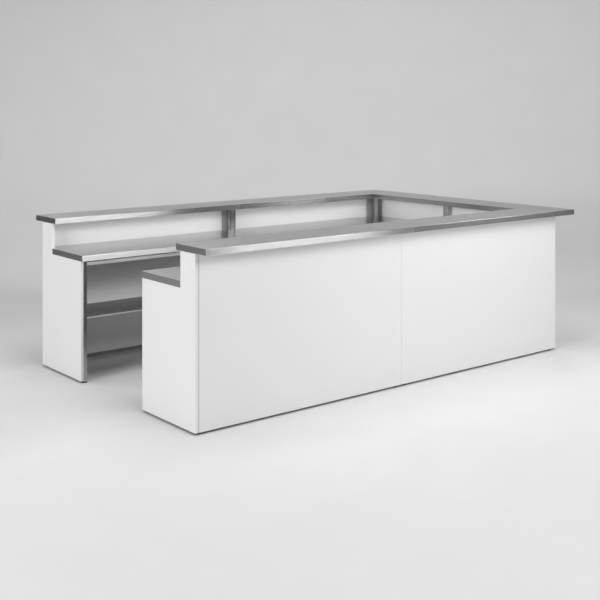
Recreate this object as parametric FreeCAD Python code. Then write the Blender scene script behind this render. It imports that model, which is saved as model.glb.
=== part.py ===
import FreeCAD, Part
import os

# U-shaped bar counter in five modules: two for each long run and one for the end run.
# It is drawn with X along the long runs from the open end of the U, Y from the guest
# face of the front run to that of the back run, and Z up from the floor. The finished
# pieces are moved so that the origin is the centre of the footprint.
# All sizes are in millimetres.

# Plan of the counter
run_length = 3420.0          # open end of the U to the guest face of the end run
run_width = 2090.0           # guest face of the front run to that of the back run
front_joint = 1710.0         # open end to the joint between the front run's modules
back_joint = 1655.0          # open end to the joint between the back run's modules
end_panel_joint = 1045.0     # front guest face to the joint of the end run's panels
cabinet_depth = 620.0        # guest face to the staff face of the frames
fin_depth = 165.0            # guest face to the edge of the end panel's upper part
guest_overhang = 115.0       # bar top beyond the guest face of a long run
end_overhang = 90.0          # bar top beyond the guest face of the end run
fin_overhang = 50.0          # bar top beyond the end panel's upper part
staff_overhang = 20.0        # worktop beyond the staff face of the frames

# Levels above the floor
counter_height = 1125.0      # top of the bar top
worktop_height = 900.0       # top of the worktop
shelf_height = 461.0         # top of the shelf
floor_gap = 12.0             # height of a foot that is screwed right in

# Boards
panel = 19.0                 # guest panels and end panels
lining = 12.0                # staff side of the wall under the bar top
lining_gap = 8.0             # base rail to the lower edge of the lining
panel_gap = 1.2              # open joint between two guest panels
edge_break = 0.8             # flat on the panels' visible edges
core = 38.0                  # board inside a steel-clad top

# Folded sheet steel
sheet = 1.5
bend_radius = 3.0            # outside radius of a fold
lip = 15.0                   # return under the edge of a clad top
joint_gap = 0.4              # between two clad tops
shelf_edge = 9.0             # height of the shelf's folded edge
shelf_rear = 180.0           # guest face to the shelf's rear edge
stiffener_line = 400.0       # guest face to the middle of the shelf's stiffener
stiffener_width = 30.0
stiffener_drop = 26.0
stiffener_flange = 15.0

# Square steel tube and what lies on it
tube = 30.0
tube_wall = 2.0
tube_round = 3.0             # outside radius of a tube's corners
front_rail_height = 25.0
ladder_inset = 32.0          # joint face to the side frame next to it
packer_height = 8.0
packer_width = 20.0

# Small round pieces are drawn with flats
foot_sides = 12
rod_sides = 8

# Posts that carry the bar top over the worktop
post_depth = 105.0           # posts of the long runs
joint_post_width = 35.0      # each post of a pair
corner_post_width = 51.0
corner_post_gap = 77.0       # corner post to the end run's lining
end_post_width = 68.0
end_post_depth = 42.0
end_post_offset = 49.0       # joint of the end run's panels to the middle of its post
post_wall = 2.0
post_flange = 12.0

# Levelling feet
foot_radius = 20.0
foot_rim = 7.0
foot_chamfer = 2.0
neck_radius = 11.0
neck_start = 10.0
stem_radius = 5.0
stem_length = 26.0
stem_clearance = 0.3
bush_radius = 8.0
foot_line = 34.0             # guest face to the feet under a wall
corner_foot_inset = 34.0     # inner face of the end run's panel to the corner foot

# Bolts that join neighbouring modules
bolt_radius = 4.0
bolt_clearance = 0.25
bolt_head_radius = 7.5       # to the corners
bolt_head_height = 5.5
sleeve_radius = 8.0
bolt_lines = (200.0, 480.0)  # guest face to each row of bolts

# Worked-out places
top_thickness = core + 2 * sheet
bar_underside = counter_height - top_thickness
worktop_underside = worktop_height - top_thickness
frame_top = worktop_underside - packer_height
wall_face = panel + tube + lining
bar_inner_edge = fin_depth + fin_overhang
bar_width = guest_overhang + bar_inner_edge
worktop_edge = cabinet_depth + staff_overhang
shelf_underside = shelf_height - shelf_edge
base_top = floor_gap + tube
rear_upright = wall_face
front_upright = cabinet_depth - tube

V = FreeCAD.Vector
UP = V(0, 0, 1)


# ---- where the pieces go -------------------------------------------------------

def front_run(shape):
    """Pieces are drawn on the front run already."""
    return shape


def back_run(shape):
    """Mirror a piece of the front run to the back run."""
    return shape.mirror(V(0, run_width / 2, 0), V(0, 1, 0))


def end_run(shape):
    """Turn a piece that is drawn along a run's guest face to the end run."""
    turned = shape.copy()
    turned.rotate(V(), UP, 90)
    turned.translate(V(run_length, 0, 0))
    return turned


def write(node, solids):
    """Move a node's solids to the part's own frame and write their file."""
    group = Part.makeCompound(solids)
    group.translate(V(-(run_length + end_overhang) / 2, -run_width / 2, 0))
    group.exportStep(os.path.join("parts", node + ".step"))


# ---- shared shapes -------------------------------------------------------------

def box(x0, x1, y0, y1, z0, z1):
    """A box between two corners."""
    return Part.makeBox(x1 - x0, y1 - y0, z1 - z0, V(x0, y0, z0))


def flat_for(radius):
    """Leg of the 45 degree flat that touches an arc in a square corner."""
    return radius * (2 - 2 ** 0.5)


def edges_along(shape, direction):
    """The straight edges that run in a direction."""
    return [edge for edge in shape.Edges if edge.tangentAt(edge.FirstParameter).cross(direction).Length < 1e-6]


def square_tube(x0, x1, y0, y1, z0, z1, direction):
    """Hollow tube with rounded corners that fills a box and runs in one direction."""
    outer = box(x0, x1, y0, y1, z0, z1)
    outer = outer.makeChamfer(flat_for(tube_round), edges_along(outer, direction))
    side_x, side_y, side_z = [tube_wall * (1 - abs(part)) for part in direction]
    inner = box(x0 + side_x, x1 - side_x, y0 + side_y, y1 - side_y, z0 + side_z, z1 - side_z)
    return outer.cut(inner)


def prism(outline, bottom, top):
    """Extrude a closed outline between two levels."""
    corners = [V(x, y, bottom) for x, y in outline]
    return Part.Face(Part.makePolygon(corners + corners[:1])).extrude(UP * (top - bottom))


def polygon(place, axis, radius, sides):
    """Regular polygon round an axis, with its corners at a radius."""
    spoke = (V(0, 1, 0) if axis.x else V(1, 0, 0)) * radius
    corners = [place + FreeCAD.Rotation(axis, 360 / sides * turn).multVec(spoke) for turn in range(sides)]
    return Part.makePolygon(corners + corners[:1])


def rod(place, axis, radius, length, sides=rod_sides):
    """Straight bar with flats, such as a stem, a shank or a nut."""
    return Part.Face(polygon(place, axis, radius, sides)).extrude(axis * length)


def inset_outline(outline, insets):
    """Move each side of a counter-clockwise outline inwards by its own amount."""
    lines = []
    for (x0, y0), (x1, y1), inset in zip(outline, outline[1:] + outline[:1], insets):
        along = V(x1 - x0, y1 - y0, 0).normalize()
        lines.append((V(x0, y0, 0) + UP.cross(along) * inset, along))
    moved = []
    for (start_a, along_a), (start_b, along_b) in zip(lines[-1:] + lines[:-1], lines):
        reach = (start_b - start_a).cross(along_b).z / along_a.cross(along_b).z
        corner = start_a + along_a * reach
        moved.append((corner.x, corner.y))
    return moved


def folded_edges(shape, outline, folded, level):
    """Edges of a prism at one level that lie on its folded sides."""
    found = []
    for start, stop, fold in zip(outline, outline[1:] + outline[:1], folded):
        middle = V((start[0] + stop[0]) / 2, (start[1] + stop[1]) / 2, level)
        if fold:
            found.append(min(shape.Edges, key=lambda edge: edge.CenterOfMass.distanceToPoint(middle)))
    return found


def clad_top(outline, sides, top_level):
    """Steel skin and board of a top. A side is free, meets a joint or meets a wall."""
    bottom_level = top_level - top_thickness
    folded = [side != "wall" for side in sides]
    outline = inset_outline(outline, [joint_gap / 2 if side == "joint" else 0 for side in sides])
    inside = inset_outline(outline, [sheet * fold for fold in folded])
    between_lips = inset_outline(outline, [lip * fold for fold in folded])
    outer = prism(outline, bottom_level, top_level)
    outer = outer.makeChamfer(flat_for(bend_radius), folded_edges(outer, outline, folded, bottom_level))
    outer = outer.makeFillet(bend_radius, folded_edges(outer, outline, folded, top_level))
    low, high = bottom_level + sheet, top_level - sheet
    board = prism(inside, low, high)
    for level in (low, high):
        board = board.makeChamfer(flat_for(bend_radius - sheet), folded_edges(board, inside, folded, level))
    board = board.fuse(prism(between_lips, bottom_level, low)).removeSplitter()
    return outer.cut(board), board


# ---- tops ----------------------------------------------------------------------

def bar_outline_left(joint):
    """Bar top of a module at the open end."""
    return [(0, -guest_overhang), (joint, -guest_overhang), (joint, bar_inner_edge), (0, bar_inner_edge)]


def bar_outline_right(joint):
    """Bar top of a corner module, with its mitre."""
    outer_end = run_length + end_overhang
    return [(joint, -guest_overhang), (outer_end, -guest_overhang),
            (outer_end - bar_width, bar_inner_edge), (joint, bar_inner_edge)]


def bar_outline_end():
    """Bar top of the end run, mitred at both ends."""
    outer_end = run_length + end_overhang
    inner_end = outer_end - bar_width
    return [(outer_end, -guest_overhang), (outer_end, run_width + guest_overhang),
            (inner_end, run_width - bar_inner_edge), (inner_end, bar_inner_edge)]


def worktop_outline_left(joint):
    """Worktop of a module at the open end, cut round the end panel's upper part."""
    return [(panel, wall_face), (joint, wall_face), (joint, worktop_edge),
            (0, worktop_edge), (0, fin_depth), (panel, fin_depth)]


def worktop_outline_right(joint):
    """Worktop of a corner module, with its mitre."""
    return [(joint, wall_face), (run_length - wall_face, wall_face),
            (run_length - worktop_edge, worktop_edge), (joint, worktop_edge)]


def worktop_outline_end():
    """Worktop of the end run, mitred at both ends."""
    wall, edge = run_length - wall_face, run_length - worktop_edge
    return [(wall, wall_face), (wall, run_width - wall_face),
            (edge, run_width - worktop_edge), (edge, worktop_edge)]


def write_top(kind, place, outline, sides, top_level, move=front_run):
    """Write the skin and the core of one clad top."""
    skin, board = clad_top(outline, sides, top_level)
    write(kind + "_skin_" + place, [move(skin)])
    write(kind + "_core_" + place, [move(board)])


def write_tops():
    """The five bar tops and the five worktops."""
    left_bar = ("free", "joint", "free", "free")
    right_bar = ("free", "joint", "free", "joint")
    left_worktop = ("wall", "joint", "free", "free", "wall", "wall")
    right_worktop = ("wall", "joint", "free", "joint")
    for side, joint, move in (("front", front_joint, front_run), ("back", back_joint, back_run)):
        write_top("bar_top", side + "_left", bar_outline_left(joint), left_bar, counter_height, move)
        write_top("bar_top", side + "_right", bar_outline_right(joint), right_bar, counter_height, move)
        write_top("worktop", side + "_left", worktop_outline_left(joint), left_worktop, worktop_height, move)
        write_top("worktop", side + "_right", worktop_outline_right(joint), right_worktop, worktop_height, move)
    write_top("bar_top", "end", bar_outline_end(), right_bar, counter_height)
    write_top("worktop", "end", worktop_outline_end(), right_worktop, worktop_height)


# ---- panels --------------------------------------------------------------------

def eased_face(board, normal, level):
    """Ease the edges of a board's visible face, which looks along a normal."""
    rim = [edge for edge in board.Edges if all(abs(v.Point.dot(normal) - level) < 1e-6 for v in edge.Vertexes)]
    return board.makeChamfer(edge_break, rim)


def guest_panel(start, stop):
    """Board on the guest face of a run."""
    board = box(start, stop, 0, panel, floor_gap, bar_underside)
    return eased_face(board, V(0, -1, 0), 0)


def lining_board(start, stop):
    """White board on the staff side of the wall."""
    return box(start, stop, wall_face - lining, wall_face, base_top + lining_gap, bar_underside)


def end_panel():
    """Stepped board that closes the open end of a run."""
    profile = [(0, floor_gap), (cabinet_depth, floor_gap), (cabinet_depth, worktop_underside),
               (fin_depth, worktop_underside), (fin_depth, bar_underside), (0, bar_underside)]
    corners = [V(0, y, z) for y, z in profile]
    board = Part.Face(Part.makePolygon(corners + corners[:1])).extrude(V(panel, 0, 0))
    return eased_face(board, V(-1, 0, 0), 0)


def write_panels():
    """All white boards."""
    half_gap = panel_gap / 2
    wall_end = run_length - panel
    for side, joint, move in (("front", front_joint, front_run), ("back", back_joint, back_run)):
        write("end_panel_" + side, [move(end_panel())])
        write("guest_panel_" + side + "_left", [move(guest_panel(panel, joint - half_gap))])
        write("guest_panel_" + side + "_right", [move(guest_panel(joint + half_gap, wall_end))])
        write("lining_" + side + "_left", [move(lining_board(panel, joint))])
        write("lining_" + side + "_right", [move(lining_board(joint, wall_end - tube))])
    write("guest_panel_end_front", [end_run(guest_panel(0, end_panel_joint - half_gap))])
    write("guest_panel_end_back", [end_run(guest_panel(end_panel_joint + half_gap, run_width))])
    write("lining_end", [end_run(lining_board(wall_face, run_width - wall_face))])


# ---- frames --------------------------------------------------------------------

def side_frame(start):
    """Ladder of tubes across the cabinet: two uprights and three rails."""
    stop = start + tube
    inner = rear_upright + tube
    return [
        square_tube(start, stop, front_upright, cabinet_depth, floor_gap, frame_top, V(0, 0, 1)),
        square_tube(start, stop, rear_upright, inner, base_top, frame_top, V(0, 0, 1)),
        square_tube(start, stop, panel + tube, front_upright, floor_gap, base_top, V(0, 1, 0)),
        square_tube(start, stop, inner, front_upright, shelf_underside - tube, shelf_underside, V(0, 1, 0)),
        square_tube(start, stop, inner, front_upright, frame_top - tube, frame_top, V(0, 1, 0)),
    ]


def wall_frame(start, stop, uprights):
    """Tubes inside the wall: a rail at the base, one at the top and uprights between them."""
    back, front = panel, panel + tube
    rail_base = bar_underside - tube
    tubes = [
        square_tube(start, stop, back, front, floor_gap, base_top, V(1, 0, 0)),
        square_tube(start, stop, back, front, rail_base, bar_underside, V(1, 0, 0)),
    ]
    for place in uprights:
        tubes.append(square_tube(place, place + tube, back, front, base_top, rail_base, V(0, 0, 1)))
    return tubes


def top_rails(start, stop, rear_stop):
    """Rails under the worktop, between the side frames and on into a corner at the rear."""
    rear = rear_upright + tube
    rails = [
        square_tube(start, stop, front_upright, cabinet_depth, frame_top - front_rail_height, frame_top,
                    V(1, 0, 0)),
        square_tube(start, stop, rear_upright, rear, frame_top - tube, frame_top, V(1, 0, 0)),
    ]
    if rear_stop > stop + tube:
        rails.append(square_tube(stop + tube, rear_stop, rear_upright, rear, frame_top - tube, frame_top,
                                 V(1, 0, 0)))
    return rails


class Module:
    """Places of one module along its run, before it is moved there."""

    def __init__(self, name, move, wall, ladders, corner=None):
        self.name = name
        self.move = move
        self.wall = wall              # start and stop of the frame in the wall
        self.ladders = ladders        # start of each side frame
        self.corner = corner          # how far a rear rail runs on into a corner
        self.bay = (ladders[0] + tube, ladders[1])

    def frame(self):
        start, stop = self.wall
        near, far = self.ladders
        uprights = [near, far]
        if self.corner:
            uprights.append(stop - tube)
        rails = top_rails(self.bay[0], self.bay[1], self.corner or 0)
        return wall_frame(start, stop, uprights) + side_frame(near) + side_frame(far) + rails

    def feet(self):
        """Places of the four feet: two under the wall and two under the staff uprights."""
        near, far = [place + tube / 2 for place in self.ladders]
        wall_far = self.wall[1] - corner_foot_inset if self.corner else far
        staff = cabinet_depth - tube / 2
        return [(near, foot_line), (wall_far, foot_line), (near, staff), (far, staff)]


def modules():
    """The five modules, each drawn along the guest face of its own run."""
    wall_end = run_length - panel
    inner_corner = run_length - cabinet_depth
    made = []
    for side, joint, move in (("front", front_joint, front_run), ("back", back_joint, back_run)):
        made.append(Module(side + "_left", move, (panel, joint), (panel, joint - ladder_inset - tube)))
        made.append(Module(side + "_right", move, (joint, wall_end), (joint + ladder_inset, inner_corner - tube),
                           run_length - wall_face))
    far = run_width - cabinet_depth - tube
    made.append(Module("end", end_run, (panel + tube, run_width - panel - tube), (cabinet_depth, far)))
    return made


def foot_holes(module):
    """Holes for the stems in the base rail under the wall."""
    radius = stem_radius + stem_clearance
    return [rod(V(x, y, floor_gap), UP, radius, tube_wall) for x, y in module.feet()[:2]]


def bolt_places(joint):
    """Axis start of each bolt across a joint between two modules."""
    start = joint - ladder_inset - tube
    levels = (floor_gap + tube / 2, frame_top - tube / 2)
    return [V(start, line, level) for line in bolt_lines for level in levels]


def bolt_holes(joint):
    """Holes for the joining bolts through both side frames."""
    length = 2 * (ladder_inset + tube)
    radius = bolt_radius + bolt_clearance
    return [rod(place, V(1, 0, 0), radius, length) for place in bolt_places(joint)]


def drilled(solids, holes):
    """Cut holes from those tubes that they meet."""
    result = []
    for solid in solids:
        for hole in holes:
            if solid.BoundBox.intersect(hole.BoundBox):
                solid = solid.cut(hole)
        result.append(solid)
    return result


def write_frames():
    """The welded tube frame of each module."""
    for module in modules():
        holes = foot_holes(module)
        if module.name != "end":
            joint = front_joint if module.name.startswith("front") else back_joint
            holes += bolt_holes(joint)
        write("frame_" + module.name, [module.move(piece) for piece in drilled(module.frame(), holes)])


# ---- shelves -------------------------------------------------------------------

def shelf_sheet(start, stop):
    """Folded sheet that rests on the side frames and is cut round their front uprights."""
    front = cabinet_depth
    outline = [(start - tube, shelf_rear), (stop + tube, shelf_rear), (stop + tube, front_upright),
               (stop, front_upright), (stop, front), (start, front), (start, front_upright),
               (start - tube, front_upright)]
    hollow = inset_outline(outline, [sheet] * len(outline))
    outer = prism(outline, shelf_underside, shelf_height)
    rim = [edge for edge in outer.Edges if all(abs(v.Point.z - shelf_height) < 1e-6 for v in edge.Vertexes)
           and edge.Length > tube]
    outer = outer.makeChamfer(flat_for(sheet), rim)
    return outer.cut(prism(hollow, shelf_underside, shelf_height - sheet))


def shelf_stiffener(start, stop):
    """Hat-shaped rib under the shelf."""
    half = stiffener_width / 2
    top = shelf_height - sheet
    low = top - stiffener_drop
    wide = half + stiffener_flange
    profile = [(-wide, top), (-wide, top - sheet), (-half, top - sheet), (-half, low), (half, low),
               (half, top - sheet), (wide, top - sheet), (wide, top), (half - sheet, top),
               (half - sheet, low + sheet), (sheet - half, low + sheet), (sheet - half, top)]
    corners = [V(start, stiffener_line + y, z) for y, z in profile]
    return Part.Face(Part.makePolygon(corners + corners[:1])).extrude(V(stop - start, 0, 0))


def write_shelves():
    """One shelf for each module."""
    for module in modules():
        pieces = [shelf_sheet(*module.bay), shelf_stiffener(*module.bay)]
        write("shelf_" + module.name, [module.move(piece) for piece in pieces])


# ---- posts ---------------------------------------------------------------------

def post(start, width, depth):
    """Folded post with closed ends, open towards the wall, that stands on the worktop."""
    stop = start + width
    front = wall_face + depth
    outer = box(start, stop, wall_face, front, worktop_height, bar_underside)
    front_edges = [edge for edge in edges_along(outer, UP) if edge.Vertexes[0].Point.y > wall_face + post_wall]
    outer = outer.makeChamfer(flat_for(post_wall), front_edges)
    hollow = box(start + post_wall, stop - post_wall, wall_face + post_wall, front - post_wall,
                 worktop_height + post_wall, bar_underside - post_wall)
    opening = box(start + post_flange, stop - post_flange, wall_face, wall_face + post_wall,
                  worktop_height + post_wall, bar_underside - post_wall)
    return outer.cut(hollow).cut(opening)


def write_posts():
    """A pair of posts before each long run's joint, one at each corner and one on the end run."""
    corner = run_length - wall_face - corner_post_gap - corner_post_width
    end_start = end_panel_joint + end_post_offset - end_post_width / 2
    for side, joint, move in (("front", front_joint, front_run), ("back", back_joint, back_run)):
        second = joint - joint_gap / 2 - joint_post_width
        first = second - joint_post_width
        write("post_" + side + "_joint_left", [move(post(first, joint_post_width, post_depth))])
        write("post_" + side + "_joint_right", [move(post(second, joint_post_width, post_depth))])
        write("post_" + side + "_corner", [move(post(corner, corner_post_width, post_depth))])
    write("post_end", [end_run(post(end_start, end_post_width, end_post_depth))])


# ---- small pieces --------------------------------------------------------------

def foot(x, y):
    """Levelling foot: a glide that narrows to a neck, and a stem."""
    profile = [(foot_radius - foot_chamfer, 0), (foot_radius, foot_chamfer), (foot_radius, foot_rim),
               (neck_radius, neck_start), (neck_radius, floor_gap)]
    glide = Part.makeLoft([polygon(V(x, y, z), UP, r, foot_sides) for r, z in profile], True, True)
    return glide.fuse(rod(V(x, y, floor_gap), UP, stem_radius, stem_length)).removeSplitter()


def wall_bush(x, y):
    """Threaded bush inside the base rail, over a foot under the wall."""
    height = tube - 2 * tube_wall
    place = V(x, y, floor_gap + tube_wall)
    return rod(place, UP, bush_radius, height).cut(rod(place, UP, stem_radius + stem_clearance, height))


def upright_bush(x, y):
    """Threaded block in the lower end of an upright."""
    half = tube / 2 - tube_wall
    height = tube - 2 * tube_wall
    block = box(x - half, x + half, y - half, y + half, floor_gap, floor_gap + height)
    return block.cut(rod(V(x, y, floor_gap), UP, stem_radius + stem_clearance, height))


def packers(module):
    """Strips between the rails and the worktop, set back from the rails' faces."""
    inset = (tube - packer_width) / 2
    levels = (frame_top, worktop_underside)
    near, far = module.ladders[0] + inset, module.ladders[1] + tube - inset
    rear = (rear_upright + inset, rear_upright + inset + packer_width)
    front = (front_upright + inset, front_upright + inset + packer_width)
    rear_far = module.corner - inset if module.corner else far
    return [
        box(near, rear_far, rear[0], rear[1], *levels),
        box(near, far, front[0], front[1], *levels),
        box(near, near + packer_width, rear[1], front[0], *levels),
        box(far - packer_width, far, rear[1], front[0], *levels),
    ]


def joining_bolts(joint):
    """Bolts across a joint, each with a head, a nut and a sleeve between the side frames."""
    length = 2 * (ladder_inset + tube)
    along = V(1, 0, 0)
    pieces = []
    for place in bolt_places(joint):
        head = rod(place - along * bolt_head_height, along, bolt_head_radius, bolt_head_height, 6)
        nut = rod(place + along * length, along, bolt_head_radius, bolt_head_height, 6)
        shank = rod(place, along, bolt_radius, length)
        start = place + along * tube
        bore = rod(start, along, bolt_radius + bolt_clearance, 2 * ladder_inset)
        pieces += [shank.fuse([head, nut]), rod(start, along, sleeve_radius, 2 * ladder_inset).cut(bore)]
    return pieces


def write_small_pieces():
    """Feet, the bushes that hold them, the worktop's packers and the joining bolts."""
    bushes = []
    strips = []
    for module in modules():
        places = module.feet()
        write("feet_" + module.name, [module.move(foot(x, y)) for x, y in places])
        bushes += [module.move(wall_bush(x, y)) for x, y in places[:2]]
        bushes += [module.move(upright_bush(x, y)) for x, y in places[2:]]
        strips += [module.move(strip) for strip in packers(module)]
    write("foot_bushes", bushes)
    write("worktop_packers", strips)
    write("joining_bolts", joining_bolts(front_joint) + [back_run(piece) for piece in joining_bolts(back_joint)])


os.makedirs("parts", exist_ok=True)
write_tops()
write_panels()
write_frames()
write_shelves()
write_posts()
write_small_pieces()
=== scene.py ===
from math import cos, pi, radians, sin

import bpy
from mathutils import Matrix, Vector

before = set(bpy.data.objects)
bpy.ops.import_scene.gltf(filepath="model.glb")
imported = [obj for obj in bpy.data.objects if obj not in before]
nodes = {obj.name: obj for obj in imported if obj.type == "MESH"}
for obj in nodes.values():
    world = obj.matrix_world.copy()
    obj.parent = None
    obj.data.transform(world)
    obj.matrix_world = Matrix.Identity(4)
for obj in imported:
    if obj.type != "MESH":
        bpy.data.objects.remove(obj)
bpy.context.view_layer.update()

# The U-shaped bar counter in a plain studio. Lengths are in metres, in the frame of the
# CAD model: X from the open end of the U to the end run, Y from the front run to the back
# run, and Z up from the floor. Levels of grey run from 0 to 1.


# ---- camera --------------------------------------------------------------------

CAMERA_PLACE = Vector((-5.155, -6.270, 2.008))
CAMERA_TURN = 0.677            # radians from +Y towards +X
PICTURE_WIDTH = 600.0          # pixels
FOCAL_PIXELS = 1043.0
HORIZON_ROW = 98.6             # pixel row of the horizon
SENSOR = 36.0                  # millimetres

FORWARD = Vector((sin(CAMERA_TURN), cos(CAMERA_TURN), 0.0))
RIGHT = Vector((cos(CAMERA_TURN), -sin(CAMERA_TURN), 0.0))


def add_camera():
    """Level camera whose frame is shifted down, so that uprights stay upright."""
    data = bpy.data.cameras.new("camera")
    data.sensor_width = SENSOR
    data.lens = SENSOR * FOCAL_PIXELS / PICTURE_WIDTH
    data.shift_y = (HORIZON_ROW - PICTURE_WIDTH / 2) / PICTURE_WIDTH
    camera = bpy.data.objects.new("camera", data)
    camera.location = CAMERA_PLACE
    camera.rotation_euler = (pi / 2, 0.0, -CAMERA_TURN)
    bpy.context.scene.collection.objects.link(camera)
    bpy.context.scene.camera = camera


# ---- node helpers --------------------------------------------------------------

UNIT = (0.0, 1.0)
FLIPPED = (1.0, 0.0)
NOISE_RANGE = (0.3, 0.7)       # noise seldom leaves it


def new_material(name):
    """A material with an empty Principled shader, and its node tree."""
    material = bpy.data.materials.new(name)
    material.use_nodes = True
    tree = material.node_tree
    return material, tree, tree.nodes["Principled BSDF"]


def object_place(tree):
    """The object coordinates, split into X, Y and Z."""
    coordinates = tree.nodes.new("ShaderNodeTexCoord")
    place = tree.nodes.new("ShaderNodeSeparateXYZ")
    tree.links.new(coordinates.outputs["Object"], place.inputs["Vector"])
    return place.outputs


def scaled_noise(tree, scale, detail=2.0, roughness=0.5):
    """Noise on object coordinates, which are scaled apart along each axis."""
    place = tree.nodes.new("ShaderNodeTexCoord")
    mapping = tree.nodes.new("ShaderNodeMapping")
    noise = tree.nodes.new("ShaderNodeTexNoise")
    mapping.inputs["Scale"].default_value = scale
    noise.inputs["Scale"].default_value = 1.0
    noise.inputs["Detail"].default_value = detail
    noise.inputs["Roughness"].default_value = roughness
    tree.links.new(place.outputs["Object"], mapping.inputs["Vector"])
    tree.links.new(mapping.outputs["Vector"], noise.inputs["Vector"])
    return noise.outputs["Fac"]


def spread(tree, value, target, source=NOISE_RANGE):
    """Map a value from one range to another, and clamp it there."""
    node = tree.nodes.new("ShaderNodeMapRange")
    node.inputs["From Min"].default_value, node.inputs["From Max"].default_value = source
    node.inputs["To Min"].default_value, node.inputs["To Max"].default_value = target
    tree.links.new(value, node.inputs["Value"])
    return node.outputs["Result"]


def maths(tree, operation, *values):
    """One operation on one or two values, each a socket or a number."""
    node = tree.nodes.new("ShaderNodeMath")
    node.operation = operation
    for socket, value in zip(node.inputs, values):
        if isinstance(value, (int, float)):
            socket.default_value = value
        else:
            tree.links.new(value, socket)
    return node.outputs["Value"]


def total(tree, first, *others):
    """The sum of two or more values."""
    for value in others:
        first = maths(tree, "ADD", first, value)
    return first


def distance(tree, value, place):
    """How far a value is from a number."""
    return maths(tree, "ABSOLUTE", maths(tree, "SUBTRACT", value, place))


def mix(tree, data_type, factor, first, second):
    """Blend of two sockets, or of two plain colours, by a factor."""
    node = tree.nodes.new("ShaderNodeMix")
    node.data_type = data_type
    sockets = [socket for socket in node.inputs if socket.enabled]
    for socket, value in zip(sockets, (factor, first, second)):
        if isinstance(value, tuple):
            socket.default_value = (*value, 1.0)
        else:
            tree.links.new(value, socket)
    return next(socket for socket in node.outputs if socket.enabled)


def grey(level):
    return (level, level, level)


def grey_socket(tree, tone):
    """A grey colour whose level is a socket."""
    colour = tree.nodes.new("ShaderNodeCombineColor")
    for socket in colour.inputs:
        tree.links.new(tone, socket)
    return colour.outputs["Color"]


def bump(tree, shader, height, depth):
    """Relief from a height value."""
    node = tree.nodes.new("ShaderNodeBump")
    node.inputs["Strength"].default_value = 1.0
    node.inputs["Distance"].default_value = depth
    tree.links.new(height, node.inputs["Height"])
    tree.links.new(node.outputs["Normal"], shader.inputs["Normal"])


# ---- steel ---------------------------------------------------------------------

# Scale of the noise on each axis, and the grain's direction, which leans a little so that
# no face is square to it.
GRAIN_ALONG = {"x": (1.2, 700.0, 700.0), "y": (700.0, 1.2, 700.0), "z": (700.0, 700.0, 1.2)}
GRAIN_DIRECTION = {"x": (1.0, 0.0, 0.02), "y": (0.0, 1.0, 0.02), "z": (0.02, 0.0, 1.0)}
GRAIN_DETAIL = 3.0
GRAIN_BREAK = 0.7              # how ragged the grain is
GRAIN_TONE = (0.93, 1.02)
GRAIN_ROUGHNESS = (-0.03, 0.03)
GRAIN_DEPTH = 0.00003
ACROSS = {"x": "y", "y": "x", "z": "x"}
QUARTER_TURN = 0.25            # stretches the gloss across the grain
TINT = 0.9                     # of the gloss at a glancing angle

SMEAR_SCALE = (2.3, 2.9, 3.1)  # broad marks of a cloth
SMEAR_TONE = (-0.02, 0.02)
SMEAR_ROUGHNESS = (-0.008, 0.008)
WEAR_SCALE = (11.0, 13.0, 12.0)
WEAR_ROUGHNESS = (-0.01, 0.02)

EDGE_WEAR_AND_HIGHLIGHT_WIDTH = 0.003              # width of the band along the edges that is painted paler as a highlight and made rougher as wear
EDGE_TURN = (0.86, 0.99)       # cosine of the turn from the face, inside that band
EDGE_HIGHLIGHT = 0.45              # how much paler it is: a painted highlight
EDGE_ROUGHNESS = 0.08          # and how much rougher
FACE_BAND = (0.2, 0.8)         # part of a normal along an axis, from off a face to on it

SHEET_ANISOTROPY = 0.95
TUBE_ANISOTROPY = 0.9
POST_ANISOTROPY = 0.75

RAIL_LOW = 0.8255              # lower face of the rails under the worktop
LOWER_HIGHLIGHT_BAND = (0.0155, 0.0175)  # band along the lower edge of the lowest rails that is painted paler
LOWER_HIGHLIGHT = (0.4, 0.0)       # how much paler it is, from its lower side upwards: a painted highlight
FIRST_UPRIGHT = -1.705         # inner face of the uprights at the open end

WALL_X = 1.604                 # staff faces of the linings
WALL_Y = 0.984
POST_REACH = 0.105             # wall to the front of a post
POST_SIDE_LIGHT_AND_SHADE = (1.15, 0.3)        # tone of its sides, from the wall to its front: painted light near the wall, painted shade at the front
STREAK_SCALE = (95.0, 95.0, 0.4)
STREAK_TONE = (0.6, 1.4)
STREAK_BAND = (0.35, 0.65)


def edge_highlight_and_wear(tree):
    """1 on the edges of the sheet, 0 on its faces."""
    bevel = tree.nodes.new("ShaderNodeBevel")
    bevel.samples = 4
    bevel.inputs["Radius"].default_value = EDGE_WEAR_AND_HIGHLIGHT_WIDTH
    geometry = tree.nodes.new("ShaderNodeNewGeometry")
    dot = tree.nodes.new("ShaderNodeVectorMath")
    dot.operation = "DOT_PRODUCT"
    tree.links.new(bevel.outputs["Normal"], dot.inputs[0])
    tree.links.new(geometry.outputs["Normal"], dot.inputs[1])
    return spread(tree, dot.outputs["Value"], FLIPPED, EDGE_TURN)


def lay_of_grain(tree, along):
    """Grain noise and the direction in which it runs."""
    lay = tree.nodes.new("ShaderNodeCombineXYZ")
    for socket, value in zip(lay.inputs, GRAIN_DIRECTION[along]):
        socket.default_value = value
    grain = scaled_noise(tree, GRAIN_ALONG[along], GRAIN_DETAIL, GRAIN_BREAK)
    return grain, lay.outputs["Vector"]


def facing(tree, axis):
    """1 on the faces square to an axis, 0 on the others."""
    geometry = tree.nodes.new("ShaderNodeNewGeometry")
    normal = tree.nodes.new("ShaderNodeSeparateXYZ")
    tree.links.new(geometry.outputs["Normal"], normal.inputs["Vector"])
    square = maths(tree, "ABSOLUTE", normal.outputs[axis.upper()])
    return spread(tree, square, UNIT, FACE_BAND)


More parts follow.
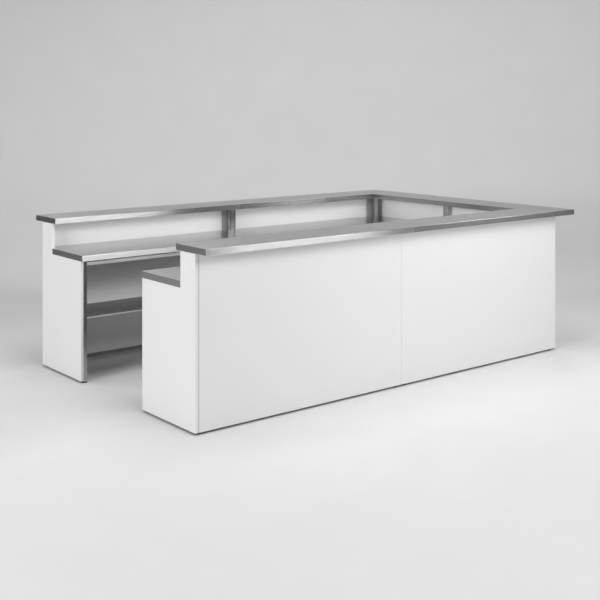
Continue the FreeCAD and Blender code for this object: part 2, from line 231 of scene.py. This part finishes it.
def steel_surface(tree, shader, lay, level, roughness, anisotropy):
    """Brushed stainless steel with faint smears, worn patches, and edges that are rougher from
    wear and paler with a painted highlight.
    """
    grain, direction = lay
    smears = scaled_noise(tree, SMEAR_SCALE, detail=4.0, roughness=0.6)
    wear = scaled_noise(tree, WEAR_SCALE, detail=5.0, roughness=0.6)
    edges = edge_highlight_and_wear(tree)
    shader.inputs["Metallic"].default_value = 1.0
    shader.inputs["Specular Tint"].default_value = (*grey(TINT), 1.0)
    shader.inputs["Anisotropic"].default_value = anisotropy
    shader.inputs["Anisotropic Rotation"].default_value = QUARTER_TURN
    tree.links.new(direction, shader.inputs["Tangent"])
    # The edges are painted paler: a painted highlight along them.
    tone = total(tree, spread(tree, grain, GRAIN_TONE), spread(tree, smears, SMEAR_TONE),
                 maths(tree, "MULTIPLY", edges, EDGE_HIGHLIGHT))
    tone = maths(tree, "MULTIPLY", tone, level)
    tree.links.new(grey_socket(tree, tone), shader.inputs["Base Color"])
    rough = total(tree, spread(tree, grain, GRAIN_ROUGHNESS), roughness,
                  spread(tree, smears, SMEAR_ROUGHNESS), spread(tree, wear, WEAR_ROUGHNESS),
                  maths(tree, "MULTIPLY", edges, EDGE_ROUGHNESS))
    tree.links.new(rough, shader.inputs["Roughness"])
    bump(tree, shader, grain, GRAIN_DEPTH)


def brushed_steel(name, along, level, roughness,
                  fold_level=None, fold_roughness=None, end_level=None):
    """Sheet with its grain along one axis. Its folds and its ends may take levels of grey other
    than its face's: painted light and shade by the way they face.
    """
    material, tree, shader = new_material(name)
    fold, end = facing(tree, ACROSS[along]), facing(tree, along)
    # Folds and ends get their own levels: painted light and shade by the way they face.
    tone = total(tree, spread(tree, fold, (level, fold_level or level), UNIT),
                 spread(tree, end, (0.0, (end_level or level) - level), UNIT))
    rough = spread(tree, fold, (roughness, fold_roughness or roughness), UNIT)
    steel_surface(tree, shader, lay_of_grain(tree, along), tone, rough, SHEET_ANISOTROPY)
    return material


def frame_steel(name, along, rail_level, upright_level, roughness):
    """Square tube: the grain runs along the rails under the worktop, and upwards below them. The
    rails are painted paler than the uprights: painted light and shade.
    """
    material, tree, shader = new_material(name)
    place = object_place(tree)
    rail = maths(tree, "MULTIPLY", maths(tree, "GREATER_THAN", place["Z"], RAIL_LOW),
                 maths(tree, "GREATER_THAN", place["X"], FIRST_UPRIGHT))
    low_grain, low_way = lay_of_grain(tree, "z")
    rail_grain, rail_way = lay_of_grain(tree, along)
    lay = (mix(tree, "FLOAT", rail, low_grain, rail_grain),
           mix(tree, "VECTOR", rail, low_way, rail_way))
    # The rails are painted paler than the uprights, painted light and shade; the lowest rails get
    # a painted highlight along their lower edge.
    level = total(tree, spread(tree, rail, (upright_level, rail_level), UNIT),
                  spread(tree, place["Z"], LOWER_HIGHLIGHT, LOWER_HIGHLIGHT_BAND))
    steel_surface(tree, shader, lay, level, roughness, TUBE_ANISOTROPY)
    return material


def post_steel(name, across, wall, level, roughness):
    """Folded post: streaks up its front, and sides painted paler near the wall and darker towards
    the front, painted light and shade.
    """
    material, tree, shader = new_material(name)
    reach = distance(tree, object_place(tree)[across.upper()], wall)
    # The sides are painted light near the wall, fading to painted shade at the front.
    side = spread(tree, reach, POST_SIDE_LIGHT_AND_SHADE, (0.0, POST_REACH))
    face = spread(tree, scaled_noise(tree, STREAK_SCALE), STREAK_TONE, STREAK_BAND)
    tone = maths(tree, "MULTIPLY", mix(tree, "FLOAT", facing(tree, across), side, face), level)
    steel_surface(tree, shader, lay_of_grain(tree, "z"), tone, roughness, POST_ANISOTROPY)
    return material


# ---- boards and mouldings ------------------------------------------------------

CLOUD_SCALE = (1.7, 1.9, 1.3)
CLOUD_SHARE = 0.25             # of the soiled tone, in faint clouds
SOILED = 0.93                  # of the clean white
PEBBLE_SCALE = (900.0, 900.0, 900.0)
SCUFF_SCALE = (6.0, 6.0, 30.0)
SCUFF_HEIGHT = (0.0, 0.18)     # where shoes reach
SCUFF_BAND = (0.45, 0.75)
LAMINATE_ROUGHNESS = (0.42, 0.5)
LAMINATE_DEPTH = 0.00003
PAINTED_SHADE_TOP = 0.0145              # top of a black band of painted shade along the lower edge of the boards
PAINTED_SHADE_LEVEL = 0.02
OPEN_SEAM = -1.7348            # joint between the end panels and the guest panels
SEAM_REACH = 0.016
SEAM_SHADE = (0.3, 0.0)        # from the joint to the end of its reach

DUST_SCALE = (40.0, 40.0, 40.0)
DUST_SHARE = 1.9               # level of dusty plastic over that of clean plastic
DUST_ROUGHNESS = (-0.05, 0.08)
MOULDING_SCALE = (1500.0, 1500.0, 1500.0)
MOULDING_DEPTH = 0.00005

FLAKE_SCALE = 260.0
FLAKE_LEVELS = (0.46, 0.58)
FLAKE_ROUGHNESS = 0.85
FLAKE_DEPTH = 0.0002


def white_laminate(name, white, seam=None):
    """Matt white laminate: almost even, with a fine pebble, faint scuffs near the floor and a
    black band of painted shade along its lower edge.

    A seam is a joint at that X, with the shadow that its rounded edges hold.
    """
    material, tree, shader = new_material(name)
    place = object_place(tree)
    cloud = scaled_noise(tree, CLOUD_SCALE, detail=3.0)
    pebble = scaled_noise(tree, PEBBLE_SCALE)
    scuff = scaled_noise(tree, SCUFF_SCALE, detail=5.0, roughness=0.65)
    low = spread(tree, place["Z"], FLIPPED, SCUFF_HEIGHT)
    dirt = maths(tree, "MULTIPLY", maths(tree, "MULTIPLY", low, low),
                 spread(tree, scuff, UNIT, SCUFF_BAND))
    soiled = total(tree, maths(tree, "MULTIPLY", cloud, CLOUD_SHARE), dirt)
    face = mix(tree, "RGBA", soiled, grey(white), grey(white * SOILED))
    if seam is not None:
        shade = spread(tree, distance(tree, place["X"], seam), SEAM_SHADE, (0.0, SEAM_REACH))
        face = mix(tree, "RGBA", shade, face, grey(0.0))
    # A black band along the lower edge of the boards is painted shade.
    painted_shade = maths(tree, "LESS_THAN", place["Z"], PAINTED_SHADE_TOP)
    tree.links.new(mix(tree, "RGBA", painted_shade, face, grey(PAINTED_SHADE_LEVEL)), shader.inputs["Base Color"])
    tree.links.new(spread(tree, scuff, LAMINATE_ROUGHNESS), shader.inputs["Roughness"])
    bump(tree, shader, pebble, LAMINATE_DEPTH)
    return material


def moulded_black(name, level, roughness):
    """Black rubber or plastic with a fine grain and a little dust."""
    material, tree, shader = new_material(name)
    grain = scaled_noise(tree, MOULDING_SCALE)
    dust = scaled_noise(tree, DUST_SCALE, detail=4.0)
    colour = mix(tree, "RGBA", spread(tree, dust, UNIT), grey(level), grey(level * DUST_SHARE))
    tree.links.new(colour, shader.inputs["Base Color"])
    rough = spread(tree, dust, [roughness + change for change in DUST_ROUGHNESS])
    tree.links.new(rough, shader.inputs["Roughness"])
    bump(tree, shader, grain, MOULDING_DEPTH)
    return material


def core_board(name):
    """Grey moisture-proof board: pressed flakes under a thin sealed face."""
    material, tree, shader = new_material(name)
    coordinates = tree.nodes.new("ShaderNodeTexCoord")
    flakes = tree.nodes.new("ShaderNodeTexVoronoi")
    flakes.inputs["Scale"].default_value = FLAKE_SCALE
    tree.links.new(coordinates.outputs["Object"], flakes.inputs["Vector"])
    shade = tree.nodes.new("ShaderNodeSeparateColor")
    tree.links.new(flakes.outputs["Color"], shade.inputs["Color"])
    colour = mix(tree, "RGBA", shade.outputs["Red"], *(grey(level) for level in FLAKE_LEVELS))
    tree.links.new(colour, shader.inputs["Base Color"])
    shader.inputs["Roughness"].default_value = FLAKE_ROUGHNESS
    bump(tree, shader, flakes.outputs["Distance"], FLAKE_DEPTH)
    return material


# ---- finishes of the nodes -----------------------------------------------------

# Fold and end levels that differ from a sheet's face level are painted light and shade.
BAR_TOP = {"level": 0.60, "roughness": 0.235}
BAR_TOP_END = 0.38
CORNER_FOLD_SHADE = {"back": 0.42, "front": 0.52}    # darker folds of the bar tops next to a corner: painted shade
WORKTOP = {"level": 0.68, "roughness": 0.17,
           "fold_level": 0.92, "fold_roughness": 0.38, "end_level": 0.36}
# The shelf's face is darker than the other steel: painted shade.
SHELF = {"level": 0.41, "roughness": 0.26, "fold_level": 0.85, "fold_roughness": 0.5}
TUBE = {"rail_level": 0.82, "upright_level": 0.43, "roughness": 0.28}
POSTS = {"front": ("y", -WALL_Y, 0.38), "back": ("y", WALL_Y, 0.38), "end": ("x", WALL_X, 0.42)}
POST_ROUGHNESS = 0.28
# The lining is a paler white than the outside panels: painted light.
OUTSIDE_WHITE = 0.76
LINING_WHITE = 0.86


def paint_nodes():
    """Give every CAD node its material, which a word in its name tells."""
    kinds = (("bar", brushed_steel, {**BAR_TOP, "end_level": BAR_TOP_END}),
             ("worktop", brushed_steel, WORKTOP),
             ("shelf", brushed_steel, SHELF),
             ("tube", frame_steel, TUBE))
    runs = {kind: {axis: paint(f"{kind}_steel_{axis}", axis, **finish) for axis in "xy"}
            for kind, paint, finish in kinds}
    # The folds of the bar tops next to a corner are painted darker: painted shade.
    corner_shade_skins = {f"bar_top_skin_{run}_right":
            brushed_steel("bar_steel_dull_" + run, "x", fold_level=fold_level, **BAR_TOP)
            for run, fold_level in CORNER_FOLD_SHADE.items()}
    posts = {run: post_steel("post_steel_" + run, across, wall, level, POST_ROUGHNESS)
             for run, (across, wall, level) in POSTS.items()}
    plain = {"core": core_board("core_board"),
             "lining": white_laminate("lining_laminate", LINING_WHITE),
             "guest": white_laminate("seamed_laminate", OUTSIDE_WHITE, OPEN_SEAM),
             "panel": white_laminate("white_laminate", OUTSIDE_WHITE),
             "feet": moulded_black("foot_plastic", level=0.012, roughness=0.5),
             "packers": moulded_black("black_rubber", level=0.01, roughness=0.7),
             "bushes": brushed_steel("bush_steel", "z", level=0.55, roughness=0.4),
             "bolts": brushed_steel("bolt_steel", "x", level=0.6, roughness=0.35)}
    for name, node in nodes.items():
        words = name.split("_")
        axis = "y" if words[-1] == "end" else "x"
        if name in corner_shade_skins:
            material = corner_shade_skins[name]
        elif "skin" in words:
            material = runs[words[0]][axis]
        elif "shelf" in words:
            material = runs["shelf"][axis]
        elif "frame" in words:
            material = runs["tube"][axis]
        elif "post" in words:
            material = posts[words[1]]
        else:
            material = next(finish for word, finish in plain.items() if word in words)
        node.data.materials.clear()
        node.data.materials.append(material)


# ---- studio --------------------------------------------------------------------

FLOOR_NEAR = -12.0             # forward of the camera
FLOOR_FAR = 28.0
FLOOR_HALF = 18.0
BACKDROP_LOW = 0.0005          # just clear of the floor
CURVE_START = 10.6
CURVE_RADIUS = 1.4
CURVE_STEPS = 24
WALL_TOP = 6.0
WALL_HALF = 5.0
WALL_FADE = (0.1, 0.8)         # height over which the backdrop darkens: painted shade
WALL_DARKER = (0.0, -0.045)    # change of tone over that height
FIBRE_SCALE = (3.0, 3.0, 3.0)
PAPER_TONE = (0.71, 0.75)
PAPER_ROUGHNESS = 0.9


def stage_point(forward, right, up):
    """A point of the studio, which is laid out square to the camera."""
    ground = Vector((CAMERA_PLACE.x, CAMERA_PLACE.y, 0.0))
    return ground + FORWARD * forward + RIGHT * right + Vector((0.0, 0.0, up))


def stage_material():
    """Pale paper of the floor and the backdrop; the backdrop is painted darker higher up, a
    painted shade.
    """
    material, tree, shader = new_material("studio_paper")
    fibre = scaled_noise(tree, FIBRE_SCALE, detail=3.0)
    tone = total(tree, spread(tree, fibre, PAPER_TONE, UNIT),
                 spread(tree, object_place(tree)["Z"], WALL_DARKER, WALL_FADE))
    tree.links.new(grey_socket(tree, tone), shader.inputs["Base Color"])
    shader.inputs["Roughness"].default_value = PAPER_ROUGHNESS
    return material


def one_sided(material):
    """Let the camera look through the rear of a backdrop, so that it hides nothing from behind."""
    tree = material.node_tree
    geometry = tree.nodes.new("ShaderNodeNewGeometry")
    path = tree.nodes.new("ShaderNodeLightPath")
    clear = tree.nodes.new("ShaderNodeBsdfTransparent")
    share = tree.nodes.new("ShaderNodeMixShader")
    factor = maths(tree, "MULTIPLY", geometry.outputs["Backfacing"], path.outputs["Is Camera Ray"])
    tree.links.new(factor, share.inputs["Fac"])
    tree.links.new(tree.nodes["Principled BSDF"].outputs["BSDF"], share.inputs[1])
    tree.links.new(clear.outputs["BSDF"], share.inputs[2])
    tree.links.new(share.outputs["Shader"], tree.nodes["Material Output"].inputs["Surface"])
    return material


def add_sheet(name, profile, half_width, material):
    """A sheet of paper square to the camera, from its profile as forward and up."""
    points = [stage_point(forward, side, up)
              for forward, up in profile for side in (-half_width, half_width)]
    faces = [(i, i + 1, i + 3, i + 2) for i in range(0, len(points) - 2, 2)]
    mesh = bpy.data.meshes.new(name)
    mesh.from_pydata([tuple(point) for point in points], [], faces)
    for polygon in mesh.polygons:
        polygon.use_smooth = True
    sheet = bpy.data.objects.new(name, mesh)
    sheet.data.materials.append(material)
    bpy.context.scene.collection.objects.link(sheet)
    return sheet


def add_stage():
    """A wide floor, and a backdrop that curves up from it behind the counter."""
    add_sheet("floor", [(FLOOR_NEAR, 0.0), (FLOOR_FAR, 0.0)], FLOOR_HALF, stage_material())
    profile = [(CURVE_START, BACKDROP_LOW)]
    for step in range(1, CURVE_STEPS + 1):
        turn = pi / 2 * step / CURVE_STEPS
        profile.append((CURVE_START + CURVE_RADIUS * sin(turn),
                        BACKDROP_LOW + CURVE_RADIUS * (1 - cos(turn))))
    profile.append((CURVE_START + CURVE_RADIUS, WALL_TOP))
    backdrop = add_sheet("backdrop", profile, WALL_HALF, one_sided(stage_material()))
    backdrop.visible_shadow = False
    backdrop.visible_diffuse = False


# ---- light ---------------------------------------------------------------------

MIDDLE = (0.0, 0.0, 0.6)       # of the counter
OPEN = 180.0                   # a softbox with no grid in front of it
WORLD_STRENGTH = 0.14

# Rectangular softboxes: name, place, point that it looks at, width and height, watts, beam
# in degrees, which a grid narrows, and what it lights. A gloss card is seen only as a
# reflection, and a matt fill only by matt faces.
SOFTBOXES = (
    ("left_key", stage_point(0.8, -5.5, 2.8), MIDDLE, (3.5, 2.6), 361.0, OPEN, "all"),
    ("strip_low", (0.79, -3.20, 0.90), (0.79, -1.0, 1.0), (1.7, 1.2), 1.4, OPEN, "gloss"),
    ("front_box", (0.90, -3.60, 1.80), (0.10, 0.98, 1.1), (1.75, 1.0), 11.3, 125.0, "all"),
    ("front_card", (1.02, -3.60, 1.80), (0.22, 0.98, 1.1), (1.5, 1.0), 6.1, 125.0, "gloss"),
    ("front_high", (0.90, -3.60, 3.40), (0.60, 0.98, 1.0), (1.75, 1.2), 3.15, 100.0, "all"),
    ("front_key", (-0.6, -6.6, 4.5), (-0.2, -1.0, 0.6), (4.0, 2.2), 185.0, OPEN, "all"),
    ("overhead", (-0.8, -0.7, 4.8), (-0.8, -0.69, 0.0), (3.2, 3.0), 98.6, OPEN, "all"),
    ("left_floor", stage_point(7.5, -5.5, 3.5), stage_point(7.0, -3.5, 0.0), (2.0, 2.0),
     48.8, OPEN, "all"),
    ("right_high", (4.40, -3.50, 3.60), (0.7, 0.98, 1.0), (1.0, 2.0), 50.4, OPEN, "all"),
    ("rear_fill", stage_point(15.0, 1.0, 4.5), MIDDLE, (4.5, 3.0), 165.0, OPEN, "matt"),
)


def add_softbox(name, place, target, size, power, beam, lights):
    """One softbox, from its row in the table."""
    data = bpy.data.lights.new(name, "AREA")
    data.shape = "RECTANGLE"
    data.size, data.size_y = size
    data.energy = power
    data.spread = radians(beam)
    light = bpy.data.objects.new(name, data)
    light.location = place
    light.rotation_euler = (Vector(target) - Vector(place)).to_track_quat("-Z", "Y").to_euler()
    light.visible_diffuse = lights != "gloss"
    light.visible_glossy = lights != "matt"
    bpy.context.scene.collection.objects.link(light)


def light_studio():
    """Softboxes round the counter in a dim studio."""
    for row in SOFTBOXES:
        add_softbox(*row)
    world = bpy.data.worlds.new("studio_surround")
    world.use_nodes = True
    background = world.node_tree.nodes["Background"]
    background.inputs["Color"].default_value = (1.0, 1.0, 1.0, 1.0)
    background.inputs["Strength"].default_value = WORLD_STRENGTH
    bpy.context.scene.world = world


bpy.context.scene.view_settings.view_transform = "Standard"
add_camera()
paint_nodes()
add_stage()
light_studio()
